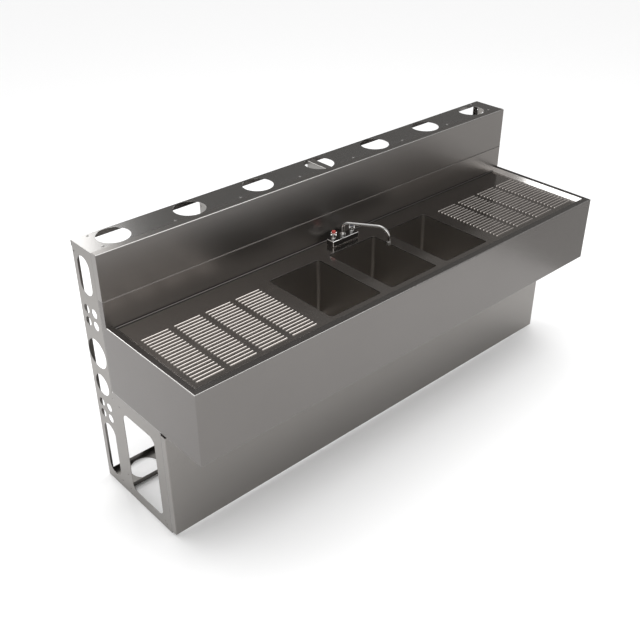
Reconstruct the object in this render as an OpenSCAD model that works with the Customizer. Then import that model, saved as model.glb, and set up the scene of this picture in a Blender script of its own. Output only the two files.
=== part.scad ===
// Three-bowl bar sink with two ribbed drainboards, a raised utility chase behind it,
// a pedestal base and a deck faucet. Stainless sheet, millimetres, +Z up, front at -Y.
// The origin is at floor level, in the middle of the length and of the depth.

/* [Overall] */
// Length of the whole unit
length = 2133.6; // [1900:1:2400]
// Height of the sink rim above the floor
rim_h = 763; // [700:1:820]
// Depth of the utility chase
chase_d = 162.6; // [155:1:220]
// How far the pedestal stands out in front of the chase
base_d = 306.6; // [260:1:360]

/* [Sheet metal] */
// Thickness of the frame sheet
frame_t = 1.5; // [1.2:0.1:2.5]
// Thickness of the sink sheet
sink_t = 1.2; // [0.9:0.1:1.6]
// Outside radius of a bend
bend_r = 3; // [2.6:0.1:4]
// Width of the inward flanges round the side plates
flange_w = 20; // [14:0.5:26]

/* [Sink body] */
// Height of the front apron
apron_h = 288; // [275:1:330]
// Width of the flat rim along the front
front_rim_w = 30.6; // [20:0.1:40]
// Width of the flat rim at the two ends
end_rim_w = 22.5; // [16:0.1:32]
// Width of the sloping face inside the rim
slope_w = 14; // [8:0.5:20]
// Drop from the rim to the deck
rim_drop = 15.6; // [10:0.1:22]
// Height of the backsplash above the rim
splash_h = 100.8; // [80:0.1:140]
// Height of the chase's front panel above the backsplash
panel_h = 178.2; // [120:0.1:240]
// Depth of the backsplash and of the front panel above it
splash_d = 28.6; // [22:0.1:40]
// Radius of the cove between deck and backsplash
cove_r = 3; // [2:0.1:12]

/* [Bowls] */
// Width of a bowl along the sink
bowl_w = 250; // [230:1:256]
// Length of a bowl from front to back
bowl_l = 344; // [300:1:350]
// Depth of a bowl below the deck
bowl_depth = 254; // [200:1:260]
// Radius of the upright corners and of the bottom edge
bowl_r = 13; // [10:1:30]
// Radius of the rolled edge where a bowl meets the deck
roll_r = 2; // [1.6:0.1:5]
// Deck between two bowls
bowl_gap = 56; // [30:1:80]
// Deck between the outer bowls and the drainboards
bowl_side_gap = 49.5; // [30:0.5:80]
// Flat deck between the front slope and the bowls
bowl_front_gap = 24.9; // [18:0.1:40]
// Deck between the bowls and the backsplash, where the faucet stands
bowl_back_gap = 101.6; // [90:0.1:130]

/* [Drainboards] */
// Length of a rib from end to end
rib_len = 112; // [90:1:120]
// Width of a rib at the deck
rib_w = 7.5; // [6:0.5:9]
// Height of a rib
rib_rise = 3; // [2:0.1:3.6]
// Distance from one rib to the next
rib_pitch = 17.6; // [15:0.05:18]
// Flat deck between two arrays of ribs
array_gap = 21.4; // [14:0.1:40]
// Flat deck between the front slope and the first rib
rib_front_gap = 24; // [16:0.5:34]

/* [Utility chase] */
// Sheet between a service hole and the chase's front frame
service_front = 4.5; // [3:0.5:20]
// Sheet between a service hole and the back of the chase
service_back = 8.5; // [5:0.5:24]
// Distance from one service hole to the next
service_pitch = 314.3; // [300:0.1:318]
// Height of the turned-down edge of the top cap
cap_lip = 23; // [18:0.5:30]
// Width of the top and bottom flange of an upright
stud_w = 29; // [22:0.5:36]
// Height of the turned-up edge of the bottom pan
pan_lip = 22; // [18:0.5:28]
// Width of the two long cut-outs in a side plate
slot_w = 78; // [60:1:84]
// Sheet left beside the large round cut-out
round_side = 7.5; // [5:0.5:20]
// Diameter of the medium round cut-out
round_mid_d = 89; // [70:1:92]
// Diameter of the small round cut-outs
round_small_d = 35; // [25:0.5:38]
// Distance between the small round cut-outs
small_pitch = 50.8; // [48:0.1:54]

/* [Pedestal] */
// Gap between the floor and the skirt
skirt_floor_gap = 12.7; // [8:0.1:20]
// Gap between the skirt and the sink body
skirt_top_gap = 11; // [6:0.5:16]
// Length of the skirt's return round the corner
skirt_return = 26.6; // [20:0.1:34]
// Width of the foot's frame in front of its opening
foot_front = 51; // [30:1:60]
// Width of the foot's frame behind its opening
foot_rear = 27; // [20:1:40]
// Height of the foot's frame under its opening
foot_low = 48; // [30:1:70]
// Height of the foot's frame over its opening
foot_high = 61; // [40:1:80]

/* [Drains] */
// Distance of the drains from the back wall of the bowls
drain_back_gap = 102; // [90:1:140]
// Width of the drain's flange round its throat
drain_lip = 11; // [8:0.5:14]
// Outside diameter of the threaded drain tail
drain_tail_d = 48.3; // [44:0.1:50]
// Wall of the threaded drain tail
drain_tail_wall = 4.65; // [3:0.05:6]
// Length of the drain below the bowl floor
drain_drop = 80; // [70:1:95]
// Number of holes round a strainer
strainer_holes = 12; // [8:1:14]

/* [Faucet] */
// Distance of the faucet's centre line from the backsplash
faucet_back = 49; // [45:0.5:54]
// Width of the faucet body
faucet_w = 40; // [36:0.5:46]
// Height of the faucet body
faucet_h = 24.5; // [22:0.5:32]
// Distance between the hot and the cold valve
valve_pitch = 101.6; // [98:0.1:106]
// Outside diameter of the spout tube
spout_d = 12.4; // [11:0.1:14]
// Reach of the spout from its swivel to its outlet
spout_reach = 188; // [170:1:210]
// Height of the spout's arm above the deck
spout_rise = 82; // [80:0.5:100]
// Direction of the spout at rest, from the length of the sink
spout_angle = -55; // [-80:1:-20]
// Span of a cross handle
handle_span = 34; // [30:1:42]

/* [Hidden] */
$fn = 64;

// Levels and planes
overrun = 1;
bend_steps = 4;
bend_in = bend_r + frame_t;
ledge_r = 0.8;
slope_run = slope_w * (rim_drop + sink_t) / rim_drop;
front_in = front_rim_w + slope_run;
end_in = end_rim_w + slope_run;
sink_d = front_in + ledge_r / 2 + bowl_front_gap + bowl_l + bowl_back_gap;
x_end = length / 2;
y_front = -(sink_d + chase_d) / 2;
y_chase = y_front + sink_d;
y_frame = y_chase + splash_d;
y_back = y_chase + chase_d;
y_plate = y_back - frame_t;
y_base = y_chase - base_d;
y_foot = y_base + skirt_return;
z_apron = rim_h - apron_h;
z_deck = rim_h - rim_drop;
z_under = z_deck - sink_t;
z_splash = rim_h + splash_h;
top_h = z_splash + panel_h;
z_cap = top_h - sink_t;
z_plate = z_cap - frame_t;
z_skirt = z_apron - skirt_top_gap;

// Turned edges of the sink body
apron_return = 20;
deck_ledge = 12;
deck_foot = 8;
panel_return = 16;
x_deck = x_end - end_in - ledge_r / 2;
y_deck_front = y_front + front_in + ledge_r / 2;
y_deck_back = y_chase - cove_r - deck_foot;

// Bowls and drainboards
y_bowl = y_deck_front + bowl_front_gap + bowl_l / 2;
z_floor = z_deck - bowl_depth;
y_drain = y_bowl + bowl_l / 2 - drain_back_gap;
bowl_pitch = bowl_w + bowl_gap;
bowl_x = [-bowl_pitch, 0, bowl_pitch];
bowl_deck_w = 2 * bowl_pitch + bowl_w + 2 * bowl_side_gap;
board_w = x_deck - bowl_deck_w / 2;
x_board = bowl_deck_w / 2 + board_w / 2;
array_pitch = rib_len + array_gap;
rib_arrays = floor((board_w + array_gap) / array_pitch);
ribs_in_array = floor((bowl_l - rib_w) / rib_pitch);
y_rib = y_deck_front + rib_front_gap + rib_w / 2;
bead_r = (rib_w * rib_w / 4 + rib_rise * rib_rise) / (2 * rib_rise);
brace_w = 60;
brace_h = 22;

// Chase
chase_in = y_back - y_frame;
service_d = chase_in - service_front - service_back;
y_service = y_frame + service_front + service_d / 2;
service_holes = floor((length - service_d - 2 * flange_w) / service_pitch) + 1;
bays = 4;
stud_pitch = length / bays;
stud_back_gap = 12.6;
y_stud = y_back - stud_back_gap;
z_stud = 2 * frame_t;
screw_front = 16.4;
screw_back = 14.6;
screw_y = [y_frame + screw_front, y_back - screw_back];
screws_in_row = 8;
screw_end_gap = 55.8;
screw_head_d = 9;
screw_head_h = 2;
screw_d = 4.8;
screw_l = 10;

// Cut-outs of the plates, each placed from the top, the rim, the apron or the floor
cut_offset = 1.4;
y_cut = y_frame + chase_in / 2 + cut_offset;
slot_top_drop = 40;
slot_top_h = 151;
slot_top_z = top_h - slot_top_drop - slot_top_h / 2;
small_top_drop = 2;
small_top_z = rim_h - small_top_drop;
round_big_rise = 133.5;
round_big_z = z_apron + round_big_rise;
round_big_d = chase_in - 2 * round_side;
round_mid_drop = 4;
round_mid_z = z_apron - round_mid_drop;
small_low_drop = 120.4;
small_low_z = z_apron - small_low_drop;
slot_low_base = 39;
slot_low_top = 186.5;
slot_low_h = z_apron - slot_low_top - slot_low_base;
slot_low_z = slot_low_base + slot_low_h / 2;
foot_open_r = 30;
foot_open = [[y_foot + foot_front, foot_low], [y_chase - foot_rear, z_apron - foot_high]];

// Holes for the bolts that join units, from the back and from the top, apron or floor
hole_d = 6;
holes_from_top = [[13.5, 39], [44, 46]];
holes_from_apron = [[135.5, 27.4], [173, 45]];
holes_from_floor = [[162, 101.4], [112, 35.4], [170, 34], [402.9, 34.7], [411.4, 23.3]];
stud_hole = [23.6, 33];

// Drain stack
drain_flange_t = 2;
tail_r = drain_tail_d / 2;
throat_step = 6.85;
throat_r = tail_r + throat_step;
flange_r = throat_r + drain_lip;
throat_l = 20;
drain_wall = 1.5;
drain_clearance = 0.5;
floor_hole_r = throat_r + drain_wall + drain_clearance;
drain_collar_t = 4;
gasket_t = 3;
nut_t = 9;
nut_lip = 12;
nut_r = throat_r + nut_lip;
strainer_gap = 3;
strainer_r = throat_r - strainer_gap;
strainer_t = 1.5;
strainer_hole_r = 2.5;
strainer_ring_share = 0.68;
knob_r = 4;
knob_neck_r = 2.2;
knob_h = 12;
fit_gap = 0.3;
run_gap = 0.08;

// Faucet
y_faucet = y_chase - faucet_back;
faucet_len = valve_pitch + faucet_w;
pad_t = 1.5;
z_block = z_deck + pad_t;
z_block_top = z_block + faucet_h;
block_r = 3;
shank_r = 10.3;
shank_collar = 0.4;
shank_seat_r = shank_r + shank_collar;
shank_l = 62;
waterway_r = 6;
washer_r = 17;
washer_t = 3;
locknut_r = 17;
locknut_t = 8;
z_shank_step = z_under - washer_t - locknut_t;
bonnet_r = 10.5;
bonnet_base_h = 7;
bonnet_top_r = 7.5;
bonnet_h = 17.5;
spigot_r = 7.5;
spigot_l = 12;
stem_r = 3.6;
stem_l = 38.5;
hub_r = 8;
hub_h = 10;
hub_gap = 0.5;
hub_roof = 3;
arm_r = 2.8;
tip_r = 3.6;
z_hub = z_block_top + bonnet_h + hub_gap;
z_arms = z_hub + hub_h / 2;
cap_r = 8.5;
cap_h = 8;
cap_roof = 2;
screw_r = 2;
handle_screw_l = 9;
spout_r = spout_d / 2;
spout_wall = 1.2;
swivel_rim = 2.8;
swivel_r = spout_r + swivel_rim;
swivel_h = 10;
swivel_floor = 1;
seal_r = 1.2;
spout_nut_rim = 4;
spout_nut_r = swivel_r + spout_nut_rim;
spout_nut_h = 12;
spout_nut_roof = 3;
z_arm = z_deck + spout_rise;
bend_near = 18;
bend_far = 50;
outlet_drop = 18;
aerator_rim = 1.3;
aerator_r = spout_r + aerator_rim;
aerator_h = 15;
aerator_lip = 5;
screen_t = 2;
screen_hole_share = 0.2;
z_swivel = z_block_top - swivel_h - swivel_floor;

// Small helpers

function unit(v) = v / norm(v);
function left_of(v) = [-v[1], v[0]];
function turned(v, a) = [v[0] * cos(a) - v[1] * sin(a), v[0] * sin(a) + v[1] * cos(a)];
function turn(a, b) = atan2(a[0] * b[1] - a[1] * b[0], a[0] * b[0] + a[1] * b[1]);

// Points and left-hand normals round one bend of a sheet
function bend(path, i, r) =
    let (d1 = unit(path[i] - path[i - 1]), d2 = unit(path[i + 1] - path[i]),
        a = turn(d1, d2), s = sign(a),
        start = path[i] - d1 * r * tan(abs(a) / 2),
        centre = start + left_of(d1) * r * s)
    [for (k = [0:bend_steps]) let (d = turned(d1, a * k / bend_steps))
        [centre - left_of(d) * r * s, left_of(d)]];

// The face line of a bent sheet, with one radius for each bend
function face_line(path, radii) =
    let (last = len(path) - 1)
    concat([[path[0], left_of(unit(path[1] - path[0]))]],
        [for (i = [1:last - 1]) each bend(path, i, radii[i - 1])],
        [[path[last], left_of(unit(path[last] - path[last - 1]))]]);

// Section of a bent sheet; a positive thickness lies to the left of the path
module sheet_section(path, thickness, radii) {
    line = face_line(path, radii);
    polygon(concat([for (s = line) s[0]],
        [for (i = [len(line) - 1:-1:0]) line[i][0] + line[i][1] * thickness]));
}

// A section drawn in Y and Z, extruded along X
module along_x(from, to) {
    translate([from, 0, 0]) rotate([90, 0, 90]) linear_extrude(to - from) children();
}

// A section drawn in X and Z, extruded along Y
module along_y(from, to) {
    translate([0, to, 0]) rotate([90, 0, 0]) linear_extrude(to - from) children();
}

module box(from, to) {
    translate(from) cube(to - from);
}

module both_sides() {
    children();
    mirror([1, 0, 0]) children();
}

// A flat outline with round corners
module round_rect(w, l, r) {
    square([w - 2 * r, l], center = true);
    square([w, l - 2 * r], center = true);
    for (x = [-1, 1], y = [-1, 1])
        translate([x * (w / 2 - r), y * (l / 2 - r)]) circle(r);
}

// A block with all its edges and corners rounded, standing on z = 0
module round_block(w, l, h, r) {
    translate([0, 0, r]) linear_extrude(h - 2 * r) round_rect(w, l, r);
    box([-(w / 2 - r), -(l / 2 - r), 0], [w / 2 - r, l / 2 - r, h]);
    for (z = [r, h - r]) {
        for (x = [-1, 1]) translate([x * (w / 2 - r), 0, z]) rotate([90, 0, 0])
            cylinder(r = r, h = l - 2 * r, center = true);
        for (y = [-1, 1]) translate([0, y * (l / 2 - r), z]) rotate([0, 90, 0])
            cylinder(r = r, h = w - 2 * r, center = true);
        for (x = [-1, 1], y = [-1, 1])
            translate([x * (w / 2 - r), y * (l / 2 - r), z]) sphere(r);
    }
}

module ring(r_out, r_in, h) {
    difference() {
        cylinder(r = r_out, h = h);
        translate([0, 0, -overrun]) cylinder(r = r_in, h = h + 2 * overrun);
    }
}

// Side plates

// Cut-outs that let pipes and lines run along the chase, drawn in Y and Z
module service_cutouts(upper) {
    module long_hole(z, h) translate([y_cut, z]) round_rect(slot_w, h, slot_w / 2 - fit_gap);
    module round_hole(z, d) translate([y_cut, z]) circle(d = d);
    module four_small(z) for (y = [-1, 1], k = [-1, 1])
        translate([y_cut + y * small_pitch / 2, z + k * small_pitch / 2])
            circle(d = round_small_d);
    if (upper) long_hole(slot_top_z, slot_top_h);
    four_small(small_top_z);
    round_hole(round_big_z, round_big_d);
    round_hole(round_mid_z, round_mid_d);
    four_small(small_low_z);
    long_hole(slot_low_z, slot_low_h);
}

// An inward flange along a plate edge, drawn as a plan or as an elevation
module edge_flange(corner, along, inward, width, thickness, radius, side) {
    leg = radius + thickness;
    sheet_section([corner - along * leg, corner, corner + inward * width],
        side * thickness, [radius]);
}

// A plate in Y and Z with its outer face at x = 0 and its flanges turned to +X
module left_plate() {
    b = bend_r;
    color([0.62, 0.61, 0.59]) translate([-x_end, 0, 0]) {
        along_x(0, frame_t) difference() {
            polygon([[y_foot + b, b], [y_plate - b, b], [y_plate - b, z_plate - b],
                [y_frame + b, z_plate - b], [y_frame + b, z_apron - b],
                [y_foot + b, z_apron - b]]);
            service_cutouts(true);
            translate((foot_open[0] + foot_open[1]) / 2)
                round_rect(foot_open[1][0] - foot_open[0][0], foot_open[1][1] - foot_open[0][1],
                    foot_open_r);
            for (h = holes_from_top) translate([y_back - h[0], top_h - h[1]])
                circle(d = hole_d);
            for (h = holes_from_apron) translate([y_back - h[0], z_apron - h[1]])
                circle(d = hole_d);
            for (h = holes_from_floor) translate([y_back - h[0], h[1]]) circle(d = hole_d);
        }
        translate([0, 0, b]) linear_extrude(z_plate - 2 * b)
            edge_flange([0, y_plate], [0, 1], [1, 0], flange_w, frame_t, b, -1);
        translate([0, 0, z_apron + b]) linear_extrude(z_plate - z_apron - 2 * b)
            edge_flange([0, y_frame], [0, -1], [1, 0], flange_w, frame_t, b, 1);
        translate([0, 0, b]) linear_extrude(z_apron - 2 * b)
            edge_flange([0, y_foot], [0, -1], [1, 0], flange_w, frame_t, b, 1);
        along_y(y_frame + b, y_plate - b)
            edge_flange([0, z_plate], [0, 1], [1, 0], flange_w, frame_t, b, -1);
        along_y(y_foot + b, y_frame - b)
            edge_flange([0, z_apron], [0, 1], [1, 0], flange_w, frame_t, b, -1);
        along_y(y_foot + b, y_plate - b)
            edge_flange([0, 0], [0, -1], [1, 0], flange_w, frame_t, b, 1);
    }
}

module left_side_plate() left_plate();
module right_side_plate() mirror([1, 0, 0]) left_plate();

// Top cap, bottom pan and front panel of the chase

module service_rows() {
    for (i = [0:service_holes - 1])
        translate([(i - (service_holes - 1) / 2) * service_pitch, y_service])
            circle(d = service_d);
}

// Places of the cap screws: one row along the front and one at each back corner
function screw_x(i) = -x_end + screw_end_gap
    + i * (length - 2 * screw_end_gap) / (screws_in_row - 1);
screw_places = concat([for (i = [0:screws_in_row - 1]) [screw_x(i), screw_y[0]]],
    [[screw_x(0), screw_y[1]], [screw_x(screws_in_row - 1), screw_y[1]]]);

module top_cap() {
    y_lap = y_chase + bend_r;
    color([0.66, 0.65, 0.63]) difference() {
        along_x(-x_end, x_end) sheet_section([[y_lap, z_cap], [y_back, z_cap],
            [y_back, z_cap - cap_lip]], -frame_t, [bend_in]);
        translate([0, 0, z_plate - overrun]) linear_extrude(frame_t + 2 * overrun) {
            service_rows();
            for (p = screw_places) translate(p) circle(d = screw_d + fit_gap);
        }
    }
}

module cap_screws() {
    color([0.74, 0.74, 0.73]) for (p = screw_places) translate([p[0], p[1], z_cap]) {
        cylinder(d = screw_head_d, h = screw_head_h);
        translate([0, 0, -screw_l]) cylinder(d = screw_d, h = screw_l);
    }
}

module bottom_pan() {
    x = x_end - bend_r;
    y_in = y_plate - frame_t;
    y_out = y_frame - frame_t;
    color([0.42, 0.41, 0.4]) difference() {
        along_x(-x, x) sheet_section([[y_out, frame_t + pan_lip], [y_out, frame_t],
            [y_in, frame_t], [y_in, frame_t + pan_lip]], frame_t, [bend_r, bend_r]);
        translate([0, 0, frame_t - overrun]) linear_extrude(frame_t + 2 * overrun)
            service_rows();
    }
}

module chase_front_panel() {
    color([0.5, 0.48, 0.46]) {
        along_x(-x_end + sink_t, x_end - sink_t)
            sheet_section([[y_frame, z_splash], [y_chase, z_splash], [y_chase, top_h],
                [y_frame, top_h]], -sink_t, [bend_r, bend_r]);
        both_sides() box([-x_end, y_chase, z_splash], [-x_end + sink_t, y_frame, z_plate]);
    }
}

// Uprights inside the chase, between the pan and the cap

module upright(i) {
    b = bend_r;
    color([0.5, 0.49, 0.48]) translate([i * stud_pitch - stud_w / 2, 0, 0]) {
        along_x(0, frame_t) difference() {
            polygon([[y_frame + b, z_stud + b], [y_stud - b, z_stud + b],
                [y_stud - b, z_plate - b], [y_frame + b, z_plate - b]]);
            service_cutouts(false);
            translate([y_back - stud_hole[0], top_h - stud_hole[1]]) circle(d = hole_d);
        }
        translate([0, 0, z_stud + b]) linear_extrude(z_plate - z_stud - 2 * b) {
            edge_flange([0, y_stud], [0, 1], [1, 0], flange_w, frame_t, b, -1);
            edge_flange([0, y_frame], [0, -1], [1, 0], flange_w, frame_t, b, 1);
        }
        along_y(y_frame + b, y_stud - b) {
            edge_flange([0, z_plate], [0, 1], [1, 0], stud_w, frame_t, b, -1);
            edge_flange([0, z_stud], [0, -1], [1, 0], stud_w, frame_t, b, 1);
        }
    }
}

module left_upright() upright(-1);
module centre_upright() upright(0);
module right_upright() upright(1);

// Sink body: aprons, rims, backsplash and deck

// Plan of what belongs to the front apron; its ends are the mitres of the rim
module front_plan() {
    x1 = x_end - bend_r;
    x2 = x_end - end_rim_w;
    x3 = x_end - end_in - 2 * deck_ledge;
    y3 = y_front + front_in + 2 * deck_ledge;
    polygon([[-x_end - overrun, y_front - overrun], [x_end + overrun, y_front - overrun],
        [x1, y_front + bend_r], [x2, y_front + front_rim_w], [x3, y3], [-x3, y3],
        [-x2, y_front + front_rim_w], [-x1, y_front + bend_r]]);
}

// Section of an apron: bottom return, face, rim, slope and the ledge under the deck
module apron_section(rim, inset) {
    sheet_section([[apron_return, z_apron], [0, z_apron], [0, rim_h], [rim, rim_h],
        [inset, z_under], [inset + deck_ledge, z_under]], -sink_t,
        [bend_r, bend_r, bend_r, ledge_r]);
}

module front_apron() {
    color([0.58, 0.57, 0.55]) intersection() {
        translate([0, y_front, 0]) along_x(-x_end, x_end)
            apron_section(front_rim_w, front_in);
        linear_extrude(rim_h + overrun) front_plan();
    }
}

module left_end() {
    color([0.6, 0.59, 0.57]) {
        difference() {
            translate([-x_end, 0, 0]) along_y(y_front, y_chase)
                apron_section(end_rim_w, end_in);
            linear_extrude(rim_h + overrun) front_plan();
        }
        translate([-x_end, 0, 0]) {
            box([0, y_chase, z_apron + bend_r], [sink_t, y_frame - bend_r, z_splash]);
            translate([0, 0, z_apron + bend_r])
                linear_extrude(z_splash - panel_return - z_apron - 2 * bend_r)
                    edge_flange([0, y_frame], [0, 1], [1, 0], panel_return, sink_t, bend_r, -1);
        }
    }
}

module left_end_panel() left_end();
module right_end_panel() mirror([1, 0, 0]) left_end();

// Backsplash with a coved foot that meets the deck
module backsplash() {
    x = x_end - sink_t;
    z_low = z_deck + cove_r;
    color([0.5, 0.48, 0.46]) {
        along_x(-x, x) sheet_section([[y_chase, z_low], [y_chase, z_splash],
            [y_frame, z_splash], [y_frame, z_splash - panel_return]], -sink_t,
            [bend_r, bend_r]);
        both_sides() box([-x, y_chase, z_under - deck_ledge],
            [-x_deck, y_chase + sink_t, z_low]);
        intersection() {
            along_x(-x, x) {
                translate([y_chase - cove_r, z_low]) difference() {
                    circle(cove_r + sink_t);
                    circle(cove_r);
                    translate([-2 * cove_r, -2 * cove_r]) square([2 * cove_r, 4 * cove_r]);
                    translate([-2 * cove_r, 0]) square([4 * cove_r, 2 * cove_r]);
                }
                translate([y_deck_back, z_under]) square([deck_foot, sink_t]);
            }
            along_y(y_deck_back - overrun, y_frame) polygon([
                [-x_deck, z_under - overrun], [x_deck, z_under - overrun], [x_deck, z_under],
                [x_end - end_rim_w, rim_h], [-x_end + end_rim_w, rim_h], [-x_deck, z_under]]);
        }
    }
}

// One raised rib, rounded over and at its ends, as a solid of the given radius
module bead(r) {
    l = rib_len / 2 - rib_w / 2;
    translate([0, 0, z_deck + rib_rise - bead_r]) {
        rotate([0, 90, 0]) cylinder(r = r, h = 2 * l, center = true);
        for (x = [-l, l]) translate([x, 0, 0]) sphere(r);
    }
}

module beads(x, r) {
    for (i = [0:rib_arrays - 1], k = [0:ribs_in_array - 1])
        translate([x + (i - (rib_arrays - 1) / 2) * array_pitch, y_rib + k * rib_pitch, 0])
            bead(r);
}

// Drainboard pressed with rows of hollow ribs
module drainboard(side) {
    x = side * x_board;
    w = board_w;
    color([0.36, 0.35, 0.33]) difference() {
        union() {
            box([x - w / 2, y_deck_front, z_under], [x + w / 2, y_deck_back, z_deck]);
            intersection() {
                beads(x, bead_r);
                box([x - w / 2, y_deck_front, z_under], [x + w / 2, y_deck_back, rim_h]);
            }
        }
        beads(x, bead_r - sink_t);
    }
}

module left_drainboard() drainboard(-1);
module right_drainboard() drainboard(1);

module bowl_deck() {
    w = bowl_deck_w / 2;
    color([0.36, 0.35, 0.33]) translate([0, 0, z_under]) linear_extrude(sink_t) difference() {
        translate([-w, y_deck_front]) square([2 * w, y_deck_back - y_deck_front]);
        for (x = bowl_x) translate([x, y_bowl])
            round_rect(bowl_w + 2 * roll_r, bowl_l + 2 * roll_r, bowl_r + roll_r);
        for (x = [-1, 1]) translate([x * valve_pitch / 2, y_faucet])
            circle(shank_seat_r + overrun);
    }
}

// Hat channel that stiffens a drainboard from below
module deck_brace(side) {
    x = side * x_board;
    w = brace_w / 2;
    color([0.5, 0.49, 0.48]) along_y(y_deck_front + 2 * deck_ledge, y_deck_back)
        sheet_section([[x - w, z_under - brace_h], [x - w, z_under], [x + w, z_under],
            [x + w, z_under - brace_h]], -frame_t, [bend_r, bend_r]);
}

module left_deck_brace() deck_brace(-1);
module right_deck_brace() deck_brace(1);

// Bowls

// Quarter of a round ring in the quadrant given by two signs
module quarter_ring(r, t, sx, sy) {
    intersection() {
        difference() {
            circle(r);
            circle(r - t);
        }
        mirror([sx < 0 ? 1 : 0, 0]) mirror([0, sy < 0 ? 1 : 0]) square(r);
    }
}

// Section of a bowl wall, from the floor's edge up over the roll to the deck
module bowl_wall() {
    translate([0, z_floor + bowl_r]) quarter_ring(bowl_r + sink_t, sink_t, 1, -1);
    translate([bowl_r, z_floor + bowl_r])
        square([sink_t, bowl_depth - bowl_r - roll_r]);
    translate([bowl_r + roll_r, z_deck - roll_r]) quarter_ring(roll_r, sink_t, -1, 1);
}

module bowl(x) {
    w = bowl_w / 2 - bowl_r;
    l = bowl_l / 2 - bowl_r;
    color([0.3, 0.3, 0.29]) translate([x, y_bowl, 0]) {
        for (s = [0, 1]) mirror([s, 0, 0]) {
            translate([w, 0, 0]) along_y(-l, l) bowl_wall();
            for (k = [0, 1]) mirror([0, k, 0]) translate([w, l, 0])
                rotate_extrude(angle = 90) bowl_wall();
        }
        for (k = [0, 1]) mirror([0, k, 0]) translate([0, l, 0]) along_x(-w, w) bowl_wall();
        translate([0, 0, z_floor - sink_t]) linear_extrude(sink_t) difference() {
            square([2 * w, 2 * l], center = true);
            translate([0, y_drain - y_bowl]) circle(floor_hole_r);
        }
    }
}

module left_bowl() bowl(bowl_x[0]);
module centre_bowl() bowl(bowl_x[1]);
module right_bowl() bowl(bowl_x[2]);

// Pedestal skirt with its returns round both corners
module base_skirt() {
    h = z_skirt - skirt_floor_gap;
    x = x_end - bend_r;
    color([0.56, 0.55, 0.53]) {
        translate([0, 0, skirt_floor_gap]) linear_extrude(h)
            sheet_section([[-x_end + panel_return, y_foot], [-x_end, y_foot],
                [-x_end, y_base], [x_end, y_base], [x_end, y_foot],
                [x_end - panel_return, y_foot]], frame_t, [bend_r, bend_r, bend_r, bend_r]);
        along_x(-x, x) {
            edge_flange([y_base, z_skirt], [0, 1], [1, 0], panel_return, frame_t, bend_r, -1);
            edge_flange([y_base, skirt_floor_gap], [0, -1], [1, 0], panel_return, frame_t,
                bend_r, 1);
        }
    }
}

// Drain stack of a bowl: body, gasket, locknut and a lift-out strainer

z_collar = z_floor - throat_l;
z_gasket = z_floor - sink_t;
z_nut = z_gasket - gasket_t;

module drain(x) {
    bore = tail_r - drain_tail_wall;
    out = throat_r + drain_wall;
    color([0.72, 0.72, 0.7]) translate([x, y_drain, 0]) rotate_extrude() polygon([
        [throat_r, z_floor], [throat_r + drain_flange_t / 2, z_floor + drain_flange_t],
        [flange_r - drain_flange_t / 2, z_floor + drain_flange_t],
        [flange_r, z_floor], [out, z_floor], [out, z_collar - drain_collar_t],
        [tail_r, z_collar - drain_collar_t], [tail_r, z_floor - drain_drop],
        [bore, z_floor - drain_drop], [bore, z_collar], [throat_r, z_collar]]);
}

module drain_gasket(x) {
    color([0.12, 0.12, 0.12]) translate([x, y_drain, z_nut])
        ring(nut_r, floor_hole_r, gasket_t);
}

module drain_locknut(x) {
    color([0.7, 0.6, 0.35]) translate([x, y_drain, z_nut - nut_t]) {
        difference() {
            union() {
                cylinder(r = nut_r, h = nut_t / 3);
                cylinder(r = nut_r - gasket_t, h = nut_t);
                for (a = [0:45:315]) rotate(a)
                    translate([nut_r - gasket_t, 0, nut_t / 2])
                        cube([2 * gasket_t - fit_gap, gasket_t, nut_t], center = true);
            }
            translate([0, 0, -overrun]) cylinder(r = throat_r + drain_wall, h = nut_t + 2 * overrun);
        }
        translate([0, 0, nut_t - nut_t / 3]) ring(nut_r, throat_r + drain_wall, nut_t / 3);
    }
}

module strainer(x) {
    color([0.7, 0.7, 0.68]) translate([x, y_drain, z_collar]) {
        difference() {
            cylinder(r = strainer_r, h = strainer_t);
            for (i = [0:strainer_holes - 1]) rotate(i * 360 / strainer_holes)
                translate([strainer_r * strainer_ring_share, 0, -overrun])
                    cylinder(r = strainer_hole_r, h = strainer_t + 2 * overrun);
        }
        cylinder(r = knob_neck_r, h = knob_h);
        translate([0, 0, knob_h]) sphere(knob_r);
    }
}

module left_drain() drain(bowl_x[0]);
module centre_drain() drain(bowl_x[1]);
module right_drain() drain(bowl_x[2]);
module left_drain_gasket() drain_gasket(bowl_x[0]);
module centre_drain_gasket() drain_gasket(bowl_x[1]);
module right_drain_gasket() drain_gasket(bowl_x[2]);
module left_drain_locknut() drain_locknut(bowl_x[0]);
module centre_drain_locknut() drain_locknut(bowl_x[1]);
module right_drain_locknut() drain_locknut(bowl_x[2]);
module left_strainer() strainer(bowl_x[0]);
module centre_strainer() strainer(bowl_x[1]);
module right_strainer() strainer(bowl_x[2]);

// Faucet body, its seal on the deck and its fixings under the deck

module at_valves() {
    for (x = [-1, 1]) translate([x * valve_pitch / 2, y_faucet, 0]) children();
}

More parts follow.
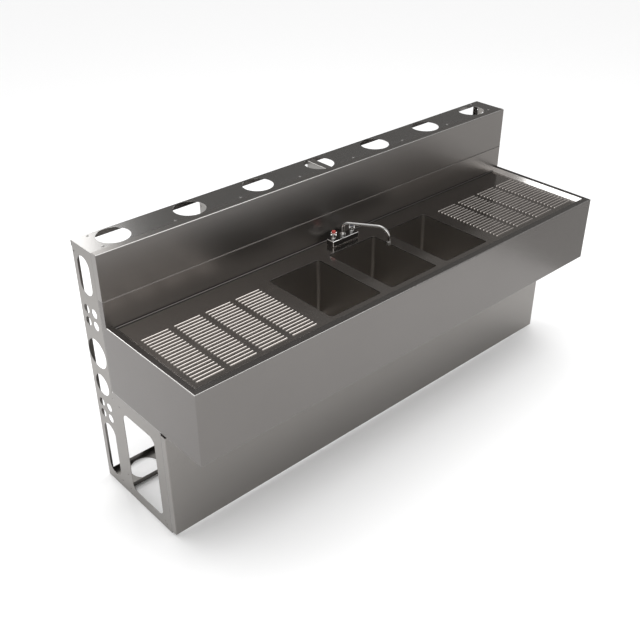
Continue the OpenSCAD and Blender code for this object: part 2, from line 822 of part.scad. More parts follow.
module faucet_body() {
    color([0.8, 0.8, 0.8]) difference() {
        union() {
            translate([0, y_faucet, z_block]) round_block(faucet_len, faucet_w, faucet_h, block_r);
            at_valves() {
                translate([0, 0, z_block - shank_l]) cylinder(r = shank_r, h = shank_l);
                translate([0, 0, z_shank_step])
                    cylinder(r = shank_seat_r, h = z_block - z_shank_step);
            }
        }
        at_valves() {
            translate([0, 0, z_block - shank_l - overrun])
                cylinder(r = waterway_r, h = shank_l + faucet_h);
            translate([0, 0, z_block_top - spigot_l])
                cylinder(r = spigot_r, h = spigot_l + overrun);
        }
        translate([0, y_faucet, z_swivel - run_gap])
            cylinder(r = swivel_r + run_gap, h = z_block_top - z_swivel + run_gap + overrun);
        translate([0, y_faucet, z_block + waterway_r]) rotate([0, 90, 0])
            cylinder(r = waterway_r / 2, h = valve_pitch, center = true);
    }
}

module faucet_gasket() {
    color([0.1, 0.1, 0.1]) difference() {
        translate([0, y_faucet, z_deck]) linear_extrude(pad_t)
            round_rect(faucet_len - 2 * block_r, faucet_w - 2 * block_r, block_r);
        at_valves() translate([0, 0, z_deck - overrun])
            cylinder(r = shank_seat_r + fit_gap, h = pad_t + 2 * overrun);
    }
}

module shank_washers() {
    color([0.2, 0.2, 0.2]) at_valves() translate([0, 0, z_under - washer_t])
        ring(washer_r, shank_seat_r + fit_gap, washer_t);
}

module shank_locknuts() {
    color([0.7, 0.6, 0.35]) at_valves() translate([0, 0, z_shank_step])
        difference() {
            cylinder(r = locknut_r, h = locknut_t, $fn = 6);
            translate([0, 0, -overrun])
                cylinder(r = shank_seat_r, h = locknut_t + 2 * overrun);
        }
}

// Valves: bonnet, stem, cross handle, screw and index cap

module valve_at(side) {
    translate([side * valve_pitch / 2, y_faucet, 0]) children();
}

module bonnet(side) {
    color([0.78, 0.78, 0.78]) valve_at(side) difference() {
        union() {
            translate([0, 0, z_block_top - spigot_l]) cylinder(r = spigot_r, h = spigot_l);
            translate([0, 0, z_block_top]) {
                cylinder(r = bonnet_r, h = bonnet_base_h, $fn = 6);
                cylinder(r = bonnet_top_r, h = bonnet_h);
            }
        }
        translate([0, 0, z_block_top - spigot_l - overrun])
            cylinder(r = stem_r + run_gap, h = spigot_l + bonnet_h + 2 * overrun);
    }
}

module stem(side) {
    top = z_hub + hub_h - hub_roof;
    color([0.75, 0.68, 0.45]) valve_at(side) difference() {
        union() {
            translate([0, 0, top - stem_l]) cylinder(r = stem_r, h = stem_l);
            translate([0, 0, top - stem_l - screw_r])
                cylinder(r = waterway_r - fit_gap, h = screw_r);
        }
        translate([0, 0, top - handle_screw_l + hub_roof])
            cylinder(r = screw_r + run_gap, h = handle_screw_l);
    }
}

module handle(side) {
    reach = handle_span / 2 - tip_r;
    color([0.82, 0.82, 0.82]) valve_at(side) difference() {
        union() {
            translate([0, 0, z_hub]) cylinder(r = hub_r, h = hub_h);
            for (a = [0:90:270]) translate([0, 0, z_arms]) rotate([0, 0, a]) {
                rotate([0, 90, 0]) cylinder(r = arm_r, h = reach);
                translate([reach, 0, 0]) sphere(tip_r);
            }
        }
        translate([0, 0, z_hub - overrun])
            cylinder(r = stem_r, h = hub_h - hub_roof + overrun);
        cylinder(r = screw_r + fit_gap, h = z_hub + hub_h + overrun);
    }
}

module handle_screw(side) {
    color([0.7, 0.7, 0.7]) valve_at(side) translate([0, 0, z_hub + hub_h]) {
        cylinder(r = 2 * screw_r, h = screw_r);
        translate([0, 0, -handle_screw_l]) cylinder(r = screw_r, h = handle_screw_l);
    }
}

module index_cap(side) {
    valve_at(side) translate([0, 0, z_hub + hub_h]) difference() {
        union() {
            cylinder(r = cap_r, h = cap_h - cap_roof);
            cylinder(r = cap_r - cap_roof / 2, h = cap_h);
        }
        translate([0, 0, -overrun])
            cylinder(r = cap_r - cap_roof, h = cap_h - cap_roof + overrun);
    }
}

module hot_bonnet() bonnet(-1);
module cold_bonnet() bonnet(1);
module hot_stem() stem(-1);
module cold_stem() stem(1);
module hot_handle() handle(-1);
module cold_handle() handle(1);
module hot_handle_screw() handle_screw(-1);
module cold_handle_screw() handle_screw(1);
module hot_index_cap() color([0.7, 0.2, 0.18]) index_cap(-1);
module cold_index_cap() color([0.12, 0.14, 0.3]) index_cap(1);

// Swivel spout, drawn in X and Z from its foot to its outlet

z_bend = z_arm - bend_near;
arm_l = spout_reach - bend_near - bend_far;
z_outlet = z_arm - bend_far - outlet_drop;

module in_spout_frame() {
    translate([0, y_faucet, 0]) rotate(spout_angle) children();
}

// Heights of the two seals on the spout's foot, and the half section of foot and riser
seal_z = [z_swivel + swivel_h / 4, z_swivel + 3 * swivel_h / 4];
groove_r = swivel_r - 2 * seal_r;
foot_section = concat([[spout_r - spout_wall, z_swivel], [swivel_r, z_swivel]],
    [for (z = seal_z) each [[swivel_r, z - seal_r], [groove_r, z - seal_r],
        [groove_r, z + seal_r], [swivel_r, z + seal_r]]],
    [[swivel_r, z_swivel + swivel_h], [spout_r, z_swivel + swivel_h], [spout_r, z_bend],
        [spout_r - spout_wall, z_bend]]);

module tube_section() {
    difference() {
        circle(spout_r);
        circle(spout_r - spout_wall);
    }
}

module tube_run(l) {
    linear_extrude(l) tube_section();
}

module spout() {
    color([0.82, 0.82, 0.82]) in_spout_frame() {
        rotate_extrude() polygon(foot_section);
        translate([bend_near, 0, z_bend]) rotate([90, 0, 0]) rotate(90)
            rotate_extrude(angle = 90) translate([bend_near, 0]) tube_section();
        translate([bend_near, 0, z_arm]) rotate([0, 90, 0]) tube_run(arm_l);
        translate([spout_reach - bend_far, 0, z_arm - bend_far]) rotate([90, 0, 0])
            rotate_extrude(angle = 90) translate([bend_far, 0]) tube_section();
        translate([spout_reach, 0, z_outlet]) tube_run(outlet_drop);
    }
}

module spout_seals() {
    color([0.1, 0.1, 0.1]) in_spout_frame() for (z = seal_z)
        translate([0, 0, z - seal_r]) ring(swivel_r, groove_r, 2 * seal_r);
}

module spout_nut() {
    color([0.8, 0.8, 0.8]) translate([0, y_faucet, z_block_top]) difference() {
        union() {
            cylinder(r = spout_nut_r, h = spout_nut_h - spout_nut_roof);
            cylinder(r = spout_nut_r - spout_nut_roof / 2, h = spout_nut_h);
        }
        translate([0, 0, -overrun])
            cylinder(r = spout_r + run_gap, h = spout_nut_h + 2 * overrun);
    }
}

// Aerator on the outlet, with its perforated screen inside

module aerator_shell() {
    color([0.82, 0.82, 0.82]) in_spout_frame()
        translate([spout_reach, 0, z_outlet + aerator_lip - aerator_h]) difference() {
            cylinder(r = aerator_r, h = aerator_h);
            translate([0, 0, -overrun])
                cylinder(r = spout_r - spout_wall, h = aerator_h + 2 * overrun);
            translate([0, 0, aerator_h - aerator_lip])
                cylinder(r = spout_r, h = aerator_lip + overrun);
        }
}

module aerator_screen() {
    r = spout_r - spout_wall;
    color([0.5, 0.5, 0.5]) in_spout_frame()
        translate([spout_reach, 0, z_outlet + aerator_lip - aerator_h + screen_t])
            difference() {
                cylinder(r = r, h = screen_t);
                for (a = [0:60:300]) rotate(a) translate([r / 2, 0, -overrun])
                    cylinder(r = r * screen_hole_share, h = screen_t + 2 * overrun);
            }
}

left_side_plate();
right_side_plate();
top_cap();
bottom_pan();
chase_front_panel();
left_upright();
centre_upright();
right_upright();
cap_screws();
backsplash();
front_apron();
left_end_panel();
right_end_panel();
left_drainboard();
right_drainboard();
bowl_deck();
left_bowl();
centre_bowl();
right_bowl();
left_deck_brace();
right_deck_brace();
base_skirt();
left_drain();
centre_drain();
right_drain();
left_drain_gasket();
centre_drain_gasket();
right_drain_gasket();
left_drain_locknut();
centre_drain_locknut();
right_drain_locknut();
left_strainer();
centre_strainer();
right_strainer();
faucet_body();
faucet_gasket();
shank_washers();
shank_locknuts();
hot_bonnet();
cold_bonnet();
hot_stem();
cold_stem();
hot_handle();
cold_handle();
hot_handle_screw();
cold_handle_screw();
hot_index_cap();
cold_index_cap();
spout_nut();
spout_seals();
spout();
aerator_shell();
aerator_screen();
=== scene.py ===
import math

import bpy
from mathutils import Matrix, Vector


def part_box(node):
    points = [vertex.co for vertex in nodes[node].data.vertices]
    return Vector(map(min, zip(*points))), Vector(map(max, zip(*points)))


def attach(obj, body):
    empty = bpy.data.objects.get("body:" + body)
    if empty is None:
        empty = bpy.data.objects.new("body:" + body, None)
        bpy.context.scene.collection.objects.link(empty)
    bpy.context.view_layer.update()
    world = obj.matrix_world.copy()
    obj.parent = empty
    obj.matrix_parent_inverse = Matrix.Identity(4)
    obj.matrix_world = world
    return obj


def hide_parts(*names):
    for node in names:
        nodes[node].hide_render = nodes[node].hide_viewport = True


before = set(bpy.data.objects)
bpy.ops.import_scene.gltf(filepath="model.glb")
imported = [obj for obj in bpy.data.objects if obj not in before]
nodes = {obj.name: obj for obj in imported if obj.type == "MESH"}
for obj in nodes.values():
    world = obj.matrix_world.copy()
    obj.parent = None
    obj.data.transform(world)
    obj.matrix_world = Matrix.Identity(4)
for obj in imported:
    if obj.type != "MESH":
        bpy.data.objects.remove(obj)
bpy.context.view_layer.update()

bpy.ops.object.select_all(action="DESELECT")

# Side plates
# The two laser-cut plates that carry the whole unit: satin stainless sheet with its
# grain running up the plate, turned in at every edge and bolted to the next unit.
streaks_along, streaks_across = 2.0, 420.0
tone_from, tone_to = 0.3, 0.72
gloss_from, gloss_to, gloss_play = 0.3, 0.7, 0.012
# Painted highlight: bends, where the normal leaves the axes, are laid over with a lighter tone.
bend_highlight_begins, bend_highlight_full = 0.99, 0.9
bend_highlight_warmth = (1.0, 0.98, 0.96)
# The Mix node's sockets share their names, so they go by number.
value_a, value_b, value_out = 2, 3, 0
colour_a, colour_b, colour_out = 6, 7, 2


def add_node(tree, kind, **values):
    """A shader node with its named inputs set."""
    node = tree.nodes.new("ShaderNode" + kind)
    for title, value in values.items():
        node.inputs[title.replace("_", " ")].default_value = value
    return node


def new_surface(name):
    """A new material, its tree, its shader and the object's own coordinates."""
    mat = bpy.data.materials.new(name)
    mat.use_nodes = True
    tree = mat.node_tree
    return mat, tree, tree.nodes["Principled BSDF"], add_node(tree, "TexCoord")


def tone_over(tree, bare, mask, tone):
    """The bare colour with the tone laid over it where the mask is full."""
    laid = add_node(tree, "Mix")
    laid.data_type = "RGBA"
    laid.inputs[colour_b].default_value = (*tone, 1)
    tree.links.new(mask, laid.inputs["Factor"])
    tree.links.new(bare, laid.inputs[colour_a])
    return laid.outputs[colour_out]


def sheet_steel(name, tone, grain, rough, cloud=0.025, bend_highlight=0.0, band=None):
    """Satin stainless sheet: streaks along its grain, soft clouds of tone and a faint bump.

    Bends, where the sheet faces along no axis, get a painted highlight: the bend tone is laid
    over them. The band gives two heights and the gain in tone that is reached on the way from
    one to the other; it paints shade or highlight by height."""
    mat, tree, steel, place = new_surface(name)
    join = tree.links.new
    steel.inputs["Metallic"].default_value = 1.0
    stretch = tuple(streaks_along if axis == grain else streaks_across for axis in "XYZ")
    along = add_node(tree, "Mapping", Scale=stretch)
    streak = add_node(tree, "TexNoise", Scale=1.0, Detail=2.0, Roughness=0.65)
    clouds = add_node(tree, "TexNoise", Scale=3.2, Detail=2.0)
    blend = add_node(tree, "Mix", Factor=0.6)
    blend.data_type = "FLOAT"
    colour = add_node(tree, "ValToRGB")
    low, high = colour.color_ramp.elements
    low.position, high.position = tone_from, tone_to
    low.color = (*[c * (1 - cloud) for c in tone], 1)
    high.color = (*[min(1, c * (1 + cloud)) for c in tone], 1)
    shine = add_node(tree, "MapRange", From_Min=gloss_from, From_Max=gloss_to,
                     To_Min=rough - gloss_play, To_Max=rough + gloss_play)
    bump = add_node(tree, "Bump", Strength=0.12, Distance=0.00001)
    join(place.outputs["Object"], along.inputs["Vector"])
    join(along.outputs["Vector"], streak.inputs["Vector"])
    join(place.outputs["Object"], clouds.inputs["Vector"])
    join(streak.outputs["Fac"], blend.inputs[value_a])
    join(clouds.outputs["Fac"], blend.inputs[value_b])
    join(blend.outputs[value_out], colour.inputs["Fac"])
    bare = colour.outputs["Color"]
    # Painted highlight on the bends, found from the normal.
    if bend_highlight:
        faces = add_node(tree, "VectorMath")
        faces.operation = "ABSOLUTE"
        parts = add_node(tree, "SeparateXYZ")
        widest = [add_node(tree, "Math") for _ in range(2)]
        for step in widest:
            step.operation = "MAXIMUM"
        bend_highlight_mask = add_node(tree, "MapRange", From_Min=bend_highlight_begins, From_Max=bend_highlight_full)
        join(place.outputs["Normal"], faces.inputs[0])
        join(faces.outputs["Vector"], parts.inputs["Vector"])
        join(parts.outputs["X"], widest[0].inputs[0])
        join(parts.outputs["Y"], widest[0].inputs[1])
        join(widest[0].outputs["Value"], widest[1].inputs[0])
        join(parts.outputs["Z"], widest[1].inputs[1])
        join(widest[1].outputs["Value"], bend_highlight_mask.inputs["Value"])
        bare = tone_over(tree, bare, bend_highlight_mask.outputs["Result"], [bend_highlight * c for c in bend_highlight_warmth])
    # Painted shade or highlight by height.
    if band:
        start, full, gain = band
        split = add_node(tree, "SeparateXYZ")
        height = add_node(tree, "MapRange", From_Min=start, From_Max=full)
        join(place.outputs["Object"], split.inputs["Vector"])
        join(split.outputs["Z"], height.inputs["Value"])
        bare = tone_over(tree, bare, height.outputs["Result"], [min(1, gain * c) for c in tone])
    join(bare, steel.inputs["Base Color"])
    join(streak.outputs["Fac"], shine.inputs["Value"])
    join(shine.outputs["Result"], steel.inputs["Roughness"])
    join(streak.outputs["Fac"], bump.inputs["Height"])
    join(bump.outputs["Normal"], steel.inputs["Normal"])
    return mat


def finish_with(mat, *names):
    """Gives CAD nodes their finish."""
    for name in names:
        slots = nodes[name].data.materials
        for i in range(len(slots)):
            slots[i] = mat
        if not slots:
            slots.append(mat)


# The plates' bends carry a faint painted highlight.
plate_steel = sheet_steel("plate_steel", tone=(0.25, 0.238, 0.226), grain="Z", rough=0.3,
                          bend_highlight=0.27)
finish_with(plate_steel, "left_side_plate", "right_side_plate")

# Uprights, pan and braces
# Folded channels that stand between the plates under the cap and carry it, the shallow
# pan between their feet and the braces under the deck: plainer sheet. The pan and braces
# are given a darker tone, a painted shade for the dark they stand in.
channel_steel = sheet_steel("channel_steel", tone=(0.26, 0.252, 0.243), grain="Z", rough=0.34)
finish_with(channel_steel, "left_upright", "centre_upright", "right_upright")
# Painted shade: the pan and braces take a darker tone.
pan_steel = sheet_steel("pan_steel", tone=(0.15, 0.144, 0.136), grain="X", rough=0.34)
finish_with(pan_steel, "bottom_pan", "left_deck_brace", "right_deck_brace")

# Top cap
# One long stainless sheet with seven pipe holes that closes the chase. It is turned down
# at the back and screwed to the plates and uprights. Its bends carry a painted highlight.
cap_steel = sheet_steel("cap_steel", tone=(0.3, 0.293, 0.285), grain="X", rough=0.26, bend_highlight=0.6)
finish_with(cap_steel, "top_cap")

# Front panel, backsplash and aprons
# The polished faces of the sink: the panel hooks over the cap, the backsplash rises
# from the deck with a painted shade at its foot, and the aprons are folded with mitred
# rims. The bends of the panel, aprons and end panels carry a painted highlight.
deck_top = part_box("bowl_deck")[1][2]
# Painted shade: the backsplash is darkened towards its foot, in the cove over the deck.
foot_shade_begins, foot_shade_full, foot_shade_gain = deck_top + 0.008, deck_top + 0.004, 0.42
panel_steel = sheet_steel("panel_steel", tone=(0.25, 0.238, 0.228), grain="X", rough=0.3,
                          bend_highlight=0.5)
finish_with(panel_steel, "chase_front_panel")
splash_steel = sheet_steel("splash_steel", tone=(0.275, 0.26, 0.248), grain="X", rough=0.3,
                           band=(foot_shade_begins, foot_shade_full, foot_shade_gain))
finish_with(splash_steel, "backsplash")
apron_steel = sheet_steel("apron_steel", tone=(0.183, 0.174, 0.167), grain="X", rough=0.24,
                          bend_highlight=0.33)
finish_with(apron_steel, "front_apron")
end_steel = sheet_steel("end_steel", tone=(0.152, 0.1425, 0.1365), grain="Y", rough=0.24,
                        bend_highlight=0.6)
finish_with(end_steel, "left_end_panel", "right_end_panel")

# Deck
# The drainboards with their pressed ribs and the flat between them: stainless sheet,
# buffed along the sink; the crowns of the ribs carry a painted highlight that makes them the
# brightest.
# Painted highlight: the tone is lifted on the crowns of the ribs.
crown_highlight_begins, crown_highlight_full, crown_highlight_gain = deck_top + 0.0006, deck_top + 0.0018, 1.3
deck_steel = sheet_steel("deck_steel", tone=(0.33, 0.307, 0.289), grain="X", rough=0.17,
                         band=(crown_highlight_begins, crown_highlight_full, crown_highlight_gain))
finish_with(deck_steel, "left_drainboard", "right_drainboard", "bowl_deck")

# Bowls
# Deep-drawn stainless bowls welded into the deck and ground round the weld, satin inside;
# a painted shade darkens the top of the rolled rim just under the deck.
# Painted shade over the rolled rim at the top of each bowl.
rim_shade_begins, rim_shade_full, rim_shade_gain = deck_top - 0.0032, deck_top - 0.002, 0.12
bowl_steel = sheet_steel("bowl_steel", tone=(0.38, 0.358, 0.336), grain="Z", rough=0.34,
                         band=(rim_shade_begins, rim_shade_full, rim_shade_gain))
finish_with(bowl_steel, "left_bowl", "centre_bowl", "right_bowl")

# Base skirt
# The pedestal's front of one stainless sheet with a return round each corner, set back
# under the sink and clear of the floor.
skirt_steel = sheet_steel("skirt_steel", tone=(0.26, 0.248, 0.236), grain="X", rough=0.3)
finish_with(skirt_steel, "base_skirt")

# Drains and strainers
# Cast and turned stainless drain bodies, each with a lift-out perforated strainer, and
# the fine steel screen that is pressed into the aerator.
drain_steel = sheet_steel("drain_steel", tone=(0.56, 0.555, 0.54), grain="Z", rough=0.2)
finish_with(drain_steel, "left_drain", "centre_drain", "right_drain", "left_strainer",
            "centre_strainer", "right_strainer", "aerator_screen")

# Cap screws
# Ten zinc-plated pan-head screws with a cross recess that hold the cap down on the plates
# and uprights; each head is upset from the wire and its shank runs through the cap.
screw_steel = sheet_steel("screw_steel", tone=(0.36, 0.352, 0.343), grain="Z", rough=0.22)
finish_with(screw_steel, "hot_handle_screw", "cold_handle_screw")
screws_low, screws_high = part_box("cap_screws")
head_r, head_h, shank_r = 0.0045, 0.002, 0.0024
head_round, shank_round = head_h * 0.55, shank_r * 0.5
head_sides, shank_sides = 40, 20
recess_l, recess_w, recess_deep = 0.0046, 0.0011, 0.0013
head_foot = screws_high[2] - head_h
per_row = 8
square_on = 0.9
smooth_below = math.radians(35)
row_from, row_to = screws_low[0] + head_r, screws_high[0] - head_r
front_y, back_y = screws_low[1] + head_r, screws_high[1] - head_r
screw_spots = [(row_from + k * (row_to - row_from) / (per_row - 1), front_y)
               for k in range(per_row)]
screw_spots += [(row_from, back_y), (row_to, back_y)]


def round_end(test, offset, segments):
    """Rounds the edges of the active mesh's faces whose normal passes the test."""
    bpy.ops.object.mode_set(mode="EDIT")
    bpy.ops.mesh.select_all(action="DESELECT")
    bpy.ops.object.mode_set(mode="OBJECT")
    for face in bpy.context.object.data.polygons:
        face.select = test(face.normal)
    bpy.ops.object.mode_set(mode="EDIT")
    bpy.ops.mesh.select_mode(type="FACE")
    bpy.ops.mesh.bevel(offset=offset, segments=segments, affect="EDGES")
    bpy.ops.object.mode_set(mode="OBJECT")


def rest_at_origin(piece):
    """Puts the finished piece's place and size into its mesh."""
    bpy.ops.object.select_all(action="DESELECT")
    piece.select_set(True)
    bpy.context.view_layer.objects.active = piece
    bpy.ops.object.transform_apply(location=True, rotation=True, scale=True)


def join_into(name, *parts):
    """Joins the parts into the first of them and gives it its name."""
    bpy.ops.object.select_all(action="DESELECT")
    for part in parts:
        part.select_set(True)
    bpy.context.view_layer.objects.active = parts[0]
    bpy.ops.object.join()
    parts[0].name = name
    return parts[0]


def model_screw():
    """One screw, head down to its point, at the first spot."""
    x, y = screw_spots[0]
    bpy.ops.mesh.primitive_cylinder_add(vertices=head_sides, radius=head_r, depth=head_h,
                                        location=(x, y, head_foot + head_h / 2))
    head = bpy.context.object
    round_end(lambda n: n.z > square_on, head_round, segments=5)
    for turn in (0, 90):
        bpy.ops.mesh.primitive_cube_add(size=1, location=(x, y, screws_high[2]))
        cutter = bpy.context.object
        cutter.scale = (recess_l, recess_w, 2 * recess_deep)
        cutter.rotation_euler.z = math.radians(turn)
        bpy.context.view_layer.objects.active = head
        bpy.ops.object.modifier_add(type="BOOLEAN")
        cut = head.modifiers[-1]
        cut.operation, cut.object, cut.solver = "DIFFERENCE", cutter, "EXACT"
        bpy.ops.object.modifier_apply(modifier=cut.name)
        bpy.data.objects.remove(cutter)
    shank_l = head_foot - screws_low[2]
    bpy.ops.mesh.primitive_cylinder_add(vertices=shank_sides, radius=shank_r, depth=shank_l,
                                        location=(x, y, head_foot - shank_l / 2))
    shank = bpy.context.object
    round_end(lambda n: n.z < -square_on, shank_round, segments=2)
    return join_into("screw", head, shank)


bpy.ops.object.select_all(action="DESELECT")
first_screw = model_screw()
copies = [first_screw]
for spot in screw_spots[1:]:
    bpy.ops.object.select_all(action="DESELECT")
    first_screw.select_set(True)
    bpy.context.view_layer.objects.active = first_screw
    bpy.ops.object.duplicate()
    copy = bpy.context.object
    copy.location.x += spot[0] - screw_spots[0][0]
    copy.location.y += spot[1] - screw_spots[0][1]
    copies.append(copy)
cap_fixings = join_into("cap_screw_set", *copies)
rest_at_origin(cap_fixings)
bpy.ops.object.shade_smooth_by_angle(angle=smooth_below)
cap_fixings.data.materials.append(screw_steel)
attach(cap_fixings, "root")
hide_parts("cap_screws")

# Brass nuts and stems
# Cast brass locknuts screwed up under the bowls and the deck, and the turned valve
# stems, all left unplated because they are out of sight.
brass = sheet_steel("brass", tone=(0.62, 0.47, 0.22), grain="Z", rough=0.3, cloud=0.12)
finish_with(brass, "left_drain_locknut", "centre_drain_locknut", "right_drain_locknut",
            "shank_locknuts", "hot_stem", "cold_stem")

# Seals
# Black rubber gaskets and washers, squeezed under the drains, the faucet and its nuts,
# and the sealing rings round the foot of the spout.
gloss_low, gloss_high = 0.8, 1.2


def plain_stuff(name, tone, rough, metallic=0.0, grain=900.0, mottle=0.1):
    """A cast, moulded or plated surface with a fine mottle in colour, gloss and relief."""
    mat, tree, stuff, place = new_surface(name)
    join = tree.links.new
    stuff.inputs["Metallic"].default_value = metallic
    speck = add_node(tree, "TexNoise", Scale=grain, Detail=3.0)
    colour = add_node(tree, "ValToRGB")
    low, high = colour.color_ramp.elements
    low.color = (*[c * (1 - mottle) for c in tone], 1)
    high.color = (*[min(1, c * (1 + mottle)) for c in tone], 1)
    shine = add_node(tree, "MapRange", To_Min=rough * gloss_low, To_Max=rough * gloss_high)
    bump = add_node(tree, "Bump", Strength=0.03, Distance=0.0002)
    join(place.outputs["Object"], speck.inputs["Vector"])
    join(speck.outputs["Fac"], colour.inputs["Fac"])
    join(colour.outputs["Color"], stuff.inputs["Base Color"])
    join(speck.outputs["Fac"], shine.inputs["Value"])
    join(shine.outputs["Result"], stuff.inputs["Roughness"])
    join(speck.outputs["Fac"], bump.inputs["Height"])
    join(bump.outputs["Normal"], stuff.inputs["Normal"])
    return mat


black_rubber = plain_stuff("black_rubber", tone=(0.035, 0.035, 0.035), rough=0.6)
finish_with(black_rubber, "left_drain_gasket", "centre_drain_gasket", "right_drain_gasket",
            "faucet_gasket", "shank_washers", "spout_seals")

# Faucet
# A chrome-plated cast body bolted through the deck, with its bonnets and spout nut, the
# swivel spout of bent tube, and the turned aerator shell on its end.
chrome = plain_stuff("chrome", tone=(0.88, 0.88, 0.87), rough=0.09, metallic=1.0, grain=60.0,
                     mottle=0.03)
finish_with(chrome, "hot_bonnet", "cold_bonnet", "spout_nut")
# The body's chrome tone is painted dark, a painted shade, and its rounded edges carry a painted
# highlight.
block_chrome_painted_light = sheet_steel("block_chrome_painted_light", tone=(0.14, 0.138, 0.135), grain="X", rough=0.05,
                           bend_highlight=0.95)
finish_with(block_chrome_painted_light, "faucet_body")
# Painted shade: the spout's chrome is painted dark along its arm; below the arm the band lifts
# the riser and bent end back to full chrome.
arm_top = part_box("spout")[1][2]
unshaded_riser_begins, unshaded_riser_full, unshaded_riser_gain = arm_top - 0.012, arm_top - 0.02, 3.0
spout_chrome_shaded_arm = sheet_steel("spout_chrome_shaded_arm", tone=(0.3, 0.295, 0.288), grain="Z", rough=0.07,
                           band=(unshaded_riser_begins, unshaded_riser_full, unshaded_riser_gain))
finish_with(spout_chrome_shaded_arm, "spout")
aerator_chrome = sheet_steel("aerator_chrome", tone=(0.86, 0.86, 0.85), grain="Z", rough=0.28)
finish_with(aerator_chrome, "aerator_shell")

# Cross handles
# Cast and chromed four-arm handles: a round hub whose arms swell into balls, blended
# where they meet, held to the stem by the screw under the index cap.
hub_r, arm_r, ball_r, fillet_grain = 0.0078, 0.0027, 0.0035, 0.00035
arm_root_r, arm_tip_r = arm_r * 1.25, arm_r * 0.85
hub_sides, arm_sides, ball_sides, ball_rings = 64, 32, 32, 20
for side, body in (("hot", "hot_valve"), ("cold", "cold_valve")):
    low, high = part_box(f"{side}_handle")
    middle = [(a + b) / 2 for a, b in zip(low, high)]
    reach = (high[0] - low[0]) / 2 - ball_r
    bpy.ops.mesh.primitive_cylinder_add(
        vertices=hub_sides, radius=hub_r, depth=high[2] - low[2], location=middle)
    lumps = [bpy.context.object]
    for quarter in range(4):
        turn = math.radians(90 * quarter)
        out = (math.cos(turn), math.sin(turn))
        bpy.ops.mesh.primitive_cone_add(
            vertices=arm_sides, radius1=arm_root_r, radius2=arm_tip_r, depth=reach,
            location=(middle[0] + out[0] * reach / 2, middle[1] + out[1] * reach / 2, middle[2]),
            rotation=(0, math.radians(90), turn))
        lumps.append(bpy.context.object)
        bpy.ops.mesh.primitive_uv_sphere_add(
            segments=ball_sides, ring_count=ball_rings, radius=ball_r,
            location=(middle[0] + out[0] * reach, middle[1] + out[1] * reach, middle[2]))
        lumps.append(bpy.context.object)
    handle = join_into(f"{side}_cross_handle", *lumps)
    rest_at_origin(handle)
    bpy.ops.object.modifier_add(type="REMESH")
    cast = handle.modifiers[-1]
    cast.mode, cast.voxel_size = "VOXEL", fillet_grain
    bpy.ops.object.modifier_apply(modifier=cast.name)
    bpy.ops.object.modifier_add(type="SMOOTH")
    polish = handle.modifiers[-1]
    polish.factor, polish.iterations = 0.5, 8
    bpy.ops.object.modifier_apply(modifier=polish.name)
    bpy.ops.object.shade_smooth()
    handle.data.materials.append(chrome)
    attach(handle, body)
    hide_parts(f"{side}_handle")

# Index caps
# Moulded press-on caps over the handle screws that mark the hot valve red and the cold
# valve dark blue.
hot_red = plain_stuff("hot_red", tone=(0.42, 0.065, 0.055), rough=0.3)
finish_with(hot_red, "hot_index_cap")
cold_blue = plain_stuff("cold_blue", tone=(0.022, 0.028, 0.07), rough=0.3)
finish_with(cold_blue, "cold_index_cap")

# Floor
# A pale matt studio floor that takes the soft shadow of the sink and runs out to where
# the white of the studio takes over.
floor_width = 60
floor_tone = (0.93, 0.93, 0.93)
bpy.ops.mesh.primitive_plane_add(size=floor_width, location=(0, 0, 0))
floor = bpy.context.object
floor.name = "studio_floor"
floor_paint = bpy.data.materials.new("floor_paint")
floor_paint.use_nodes = True
paint = floor_paint.node_tree.nodes["Principled BSDF"]
paint.inputs["Base Color"].default_value = (*floor_tone, 1)
paint.inputs["Roughness"].default_value = 0.9
paint.inputs["Specular IOR Level"].default_value = 0.1
floor.data.materials.append(floor_paint)

# Studio flags
# Two dark cards behind and in front of the sink and a paler one flat on the floor at the
# right, seen only in the polished faces, where they draw the long dark reflections.


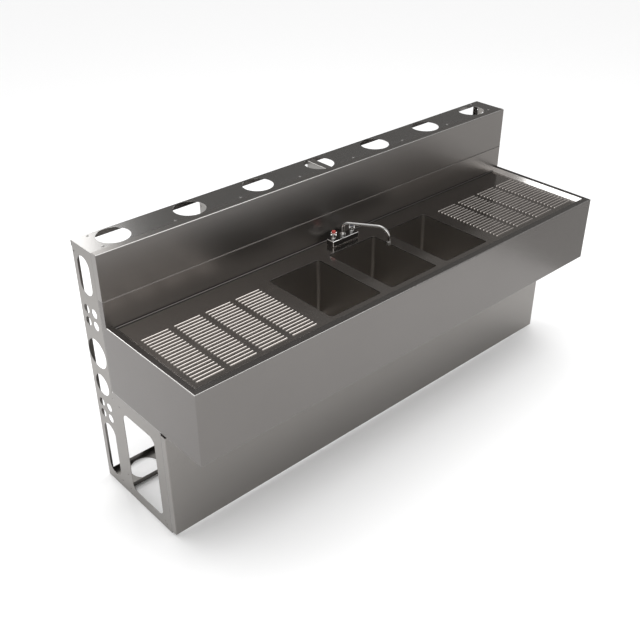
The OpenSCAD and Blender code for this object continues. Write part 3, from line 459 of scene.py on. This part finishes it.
def dark_card(name, place, tilt, turn, width, height, tone):
    """A flag that shows in reflections and nowhere else."""
    bpy.ops.mesh.primitive_plane_add(
        size=1, location=place, rotation=(math.radians(tilt), 0, math.radians(turn)))
    card = bpy.context.object
    card.name = name
    card.scale = (width, height, 1)
    paint = bpy.data.materials.new(name)
    paint.use_nodes = True
    tree = paint.node_tree
    tree.nodes.remove(tree.nodes["Principled BSDF"])
    glow = add_node(tree, "Emission", Color=(*tone, 1))
    tree.links.new(glow.outputs["Emission"], tree.nodes["Material Output"].inputs["Surface"])
    card.data.materials.append(paint)
    card.visible_camera = False
    card.visible_diffuse = False
    card.visible_shadow = False
    card.visible_transmission = False


dark_card("back_flag", place=(4.0, 2.6, 2.4), tilt=90, turn=0, width=7.4, height=4.4,
          tone=(0.2, 0.195, 0.189))
dark_card("low_flag", place=(2.9, -0.9, 0.03), tilt=0, turn=0, width=2.6, height=2.8,
          tone=(0.72, 0.71, 0.7))
dark_card("front_flag", place=(2.9, -3.1, 2.4), tilt=90, turn=43, width=5.0, height=3.6,
          tone=(0.2, 0.195, 0.19))

# Light
# An even white studio, a long soft box overhead that draws the ribs, a small one for the
# far end and one behind on the left for the cap.
studio = bpy.data.worlds.new("studio")
bpy.context.scene.world = studio
studio.use_nodes = True
sky = studio.node_tree.nodes["Background"]
sky.inputs["Color"].default_value = (1, 1, 1, 1)
sky.inputs["Strength"].default_value = 1.0


def soft_box(name, place, turn, width, depth, radiance):
    """A rectangular soft box whose power gives the radiance."""
    bpy.ops.object.light_add(type="AREA", location=place)
    lamp = bpy.context.object
    lamp.name = name
    lamp.data.shape = "RECTANGLE"
    lamp.data.size = width
    lamp.data.size_y = depth
    lamp.data.energy = math.pi * width * depth * radiance
    lamp.rotation_euler = [math.radians(a) for a in turn]


soft_box("overhead_box", place=(0.65, -0.7, 3.6), turn=(0, 0, 0), width=3.1, depth=3.0,
         radiance=2.2)
soft_box("end_box", place=(-0.75, 1.9, 3.6), turn=(0, 0, 0), width=1.0, depth=1.5,
         radiance=4.0)
soft_box("back_box", place=(-1.75, 2.6, 2.3), turn=(-90, 0, 0), width=3.8, depth=1.2,
         radiance=3.4)

# Camera
# The photograph's viewpoint in front, to the left and above, as fitted to the unit's own
# straight edges.
eye = (-2.2343, -2.1902, 2.3944)
eye_tilt, eye_turn = math.radians(57.788), math.radians(-42.299)
bpy.ops.object.camera_add(location=eye, rotation=(eye_tilt, 0, eye_turn))
camera = bpy.context.object
camera.data.lens = 49.746
camera.data.sensor_width = 36.0
bpy.context.scene.camera = camera
bpy.context.scene.view_settings.view_transform = "Standard"
